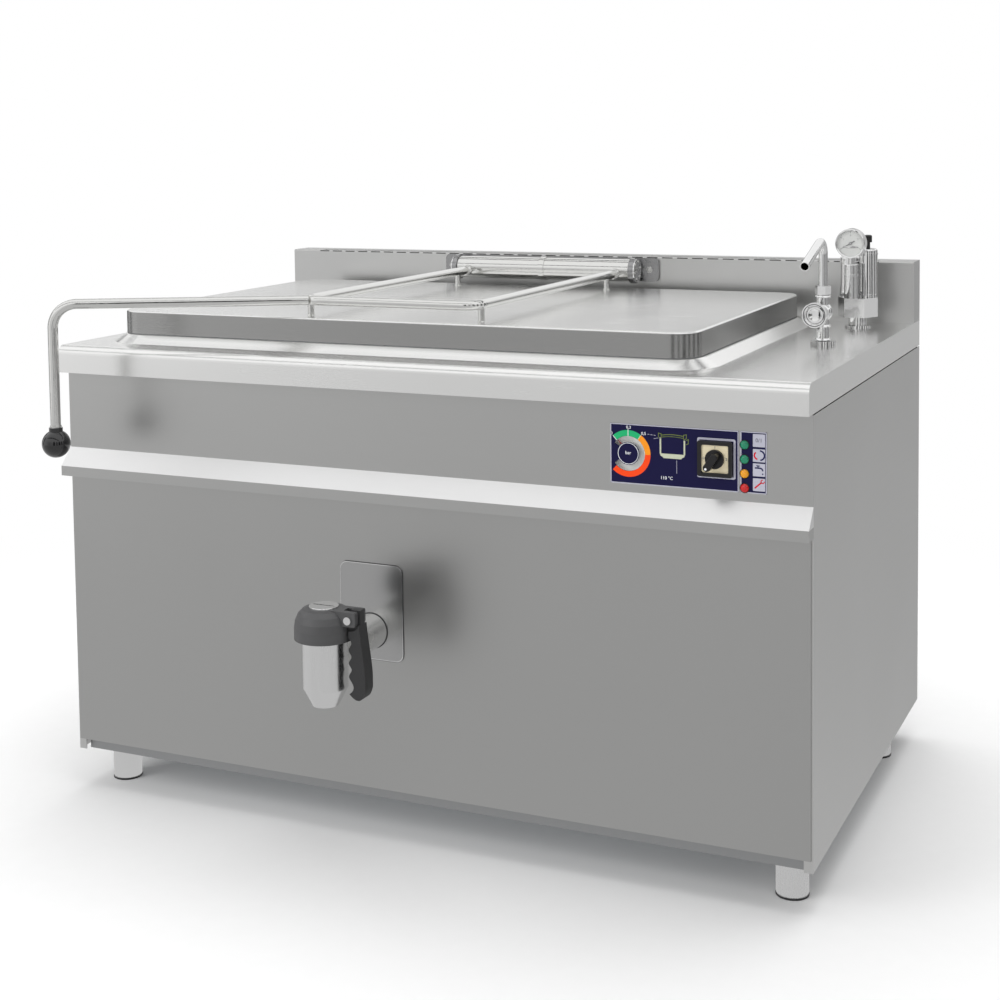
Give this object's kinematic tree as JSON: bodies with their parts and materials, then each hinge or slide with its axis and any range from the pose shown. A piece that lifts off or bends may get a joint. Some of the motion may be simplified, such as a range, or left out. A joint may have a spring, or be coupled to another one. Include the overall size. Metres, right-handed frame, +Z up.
{
  "type": "steam jacketed kettle",
  "caption": "Rectangular steam jacketed kettle in a floor cabinet, with balanced lid and lifting lever, water tap, safety valves with gauge, front drain valve and control panel",
  "frame": {"origin": "On the floor under the middle of the cabinet", "axes": "X to the right along the cabinet's width, Y to the back, Z up"},
  "size_m": [1.4, 1.084, 1.031],
  "materials": {
    "panel_steel": "satin stainless sheet",
    "lid_steel": "satin stainless sheet",
    "vessel_steel": "fine ground stainless",
    "tube_steel": "polished stainless tube",
    "frame_steel": "mill finish",
    "zinc_sheet": "zinc coated",
    "chrome": "bright plated",
    "brass": "turned",
    "black_plastic": "moulded, fine grain",
    "dark_plastic": "moulded, fine grain",
    "knob_plastic": "polished phenolic",
    "cream_plastic": "moulded",
    "navy_print": "printed plate",
    "gasket_rubber": "extruded seal",
    "wool": "mineral wool blanket",
    "clear": "clear",
    "green_lens": "translucent",
    "amber_lens": "translucent",
    "red_lens": "translucent",
    "needle_black": "matt",
    "needle_red": "matt",
    "dial_white": "matt"
  },
  "bodies": {
    "cabinet": {"base_frame": "frame_steel", "support_frame": "frame_steel", "side_panel_left": "panel_steel", "side_panel_right": "panel_steel", "rear_panel": "zinc_sheet", "bottom_tray": "zinc_sheet", "front_panel": "panel_steel", "control_fascia": "panel_steel", "worktop": "panel_steel", "backsplash": "panel_steel", "vent_grille": "panel_steel", "inner_vessel": "vessel_steel", "steam_jacket": "frame_steel", "insulation": "wool", "heating_elements": "tube_steel", "safety_pipe": "tube_steel", "water_pipe": "tube_steel", "contactor_block": "black_plastic", "cable_gland": "dark_plastic", "hinge_plate": "lid_steel", "hinge_spindle": "tube_steel", "tap_body": "chrome", "safety_manifold": "chrome", "safety_valve": "chrome", "vacuum_valve": "chrome", "gauge_case": "tube_steel", "gauge_lens": "clear", "control_plate": "navy_print", "lamp_plate": "navy_print", "lamp_power": "green_lens", "lamp_heating": "green_lens", "lamp_water": "amber_lens", "lamp_fault": "red_lens", "panel_gauge": "dial_white", "rotary_switch": "cream_plastic", "drain_pipe": "tube_steel", "drain_plate": "lid_steel", "drain_valve_body": "chrome", "drain_valve_cap": "dark_plastic", "drain_cap_plug": "chrome", "drain_lever_pin": "chrome"},
    "lid": {"lid_shell": "lid_steel", "lid_inner_skin": "lid_steel", "lid_gasket": "gasket_rubber", "lid_frame": "tube_steel", "lid_lever": "tube_steel", "lid_knob": "knob_plastic", "hinge_tube": "tube_steel"},
    "spout": {"tap_spout": "chrome"},
    "tap_wheel": {"tap_handwheel": "chrome"},
    "valve_lift": {"safety_valve_knob": "black_plastic"},
    "gauge_hand": {"gauge_needle": "needle_black"},
    "dial_hand": {"panel_gauge_pointer": "needle_red"},
    "selector": {"switch_knob": "black_plastic"},
    "drain_handle": {"drain_lever": "dark_plastic"},
    "drain_stem": {"drain_plunger": "tube_steel"},
    "levelling_front_left": {"foot_front_left": "tube_steel"},
    "levelling_front_right": {"foot_front_right": "tube_steel"},
    "levelling_rear_left": {"foot_rear_left": "tube_steel"},
    "levelling_rear_right": {"foot_rear_right": "tube_steel"}
  },
  "joints": [
    {"name": "lid_hinge", "type": "hinge", "parent": "cabinet", "child": "lid", "pos_m": [-0.066, 0.355, 0.933], "axis": [-1, 0, 0], "range_deg": [0, 90], "stiffness_Nm_per_rad": 46, "springref_deg": 91.67},
    {"name": "spout_swivel", "type": "hinge", "parent": "cabinet", "child": "spout", "pos_m": [0.612, 0.008, 0.93], "axis": [0, 0, 1], "range_deg": [-150, 60]},
    {"name": "tap_wheel_turn", "type": "hinge", "parent": "cabinet", "child": "tap_wheel", "pos_m": [0.612, -0.03, 0.899], "axis": [0, -1, 0], "range_deg": [0, 720]},
    {"name": "selector_turn", "type": "hinge", "parent": "cabinet", "child": "selector", "pos_m": [0.546, -0.43, 0.711], "axis": [0, 1, 0], "range_deg": [0, 180]},
    {"name": "drain_lever_turn", "type": "hinge", "parent": "cabinet", "child": "drain_handle", "pos_m": [-0.012, -0.585, 0.442], "axis": [0, -1, 0], "range_deg": [0, 22]},
    {"name": "gauge_hand_turn", "type": "hinge", "parent": "cabinet", "child": "gauge_hand", "pos_m": [0.604, 0.262, 1.003], "axis": [0, 1, 0], "range_deg": [0, 240], "stiffness_Nm_per_rad": 0.001},
    {"name": "dial_hand_turn", "type": "hinge", "parent": "cabinet", "child": "dial_hand", "pos_m": [0.402, -0.416, 0.7095], "axis": [0, 1, 0], "range_deg": [0, 270], "stiffness_Nm_per_rad": 0.001},
    {"name": "drain_stem_slide", "type": "slide", "parent": "cabinet", "child": "drain_stem", "axis": [0, 0, -1], "range_m": [0, 0.0166]},
    {"name": "valve_lift_slide", "type": "slide", "parent": "cabinet", "child": "valve_lift", "axis": [0, 0, 1], "range_m": [0, 0.003], "stiffness_N_per_m": 1200},
    {"name": "levelling_front_left_screw", "type": "slide", "parent": "cabinet", "child": "levelling_front_left", "axis": [0, 0, -1], "range_m": [0, 0.04]},
    {"name": "levelling_front_right_screw", "type": "slide", "parent": "cabinet", "child": "levelling_front_right", "axis": [0, 0, -1], "range_m": [0, 0.04]},
    {"name": "levelling_rear_left_screw", "type": "slide", "parent": "cabinet", "child": "levelling_rear_left", "axis": [0, 0, -1], "range_m": [0, 0.04]},
    {"name": "levelling_rear_right_screw", "type": "slide", "parent": "cabinet", "child": "levelling_rear_right", "axis": [0, 0, -1], "range_m": [0, 0.04]}
  ],
  "couplings": [
    {"joint": "drain_stem_slide", "follows": "drain_lever_turn", "m_per_rad": 0.0432}
  ]
}
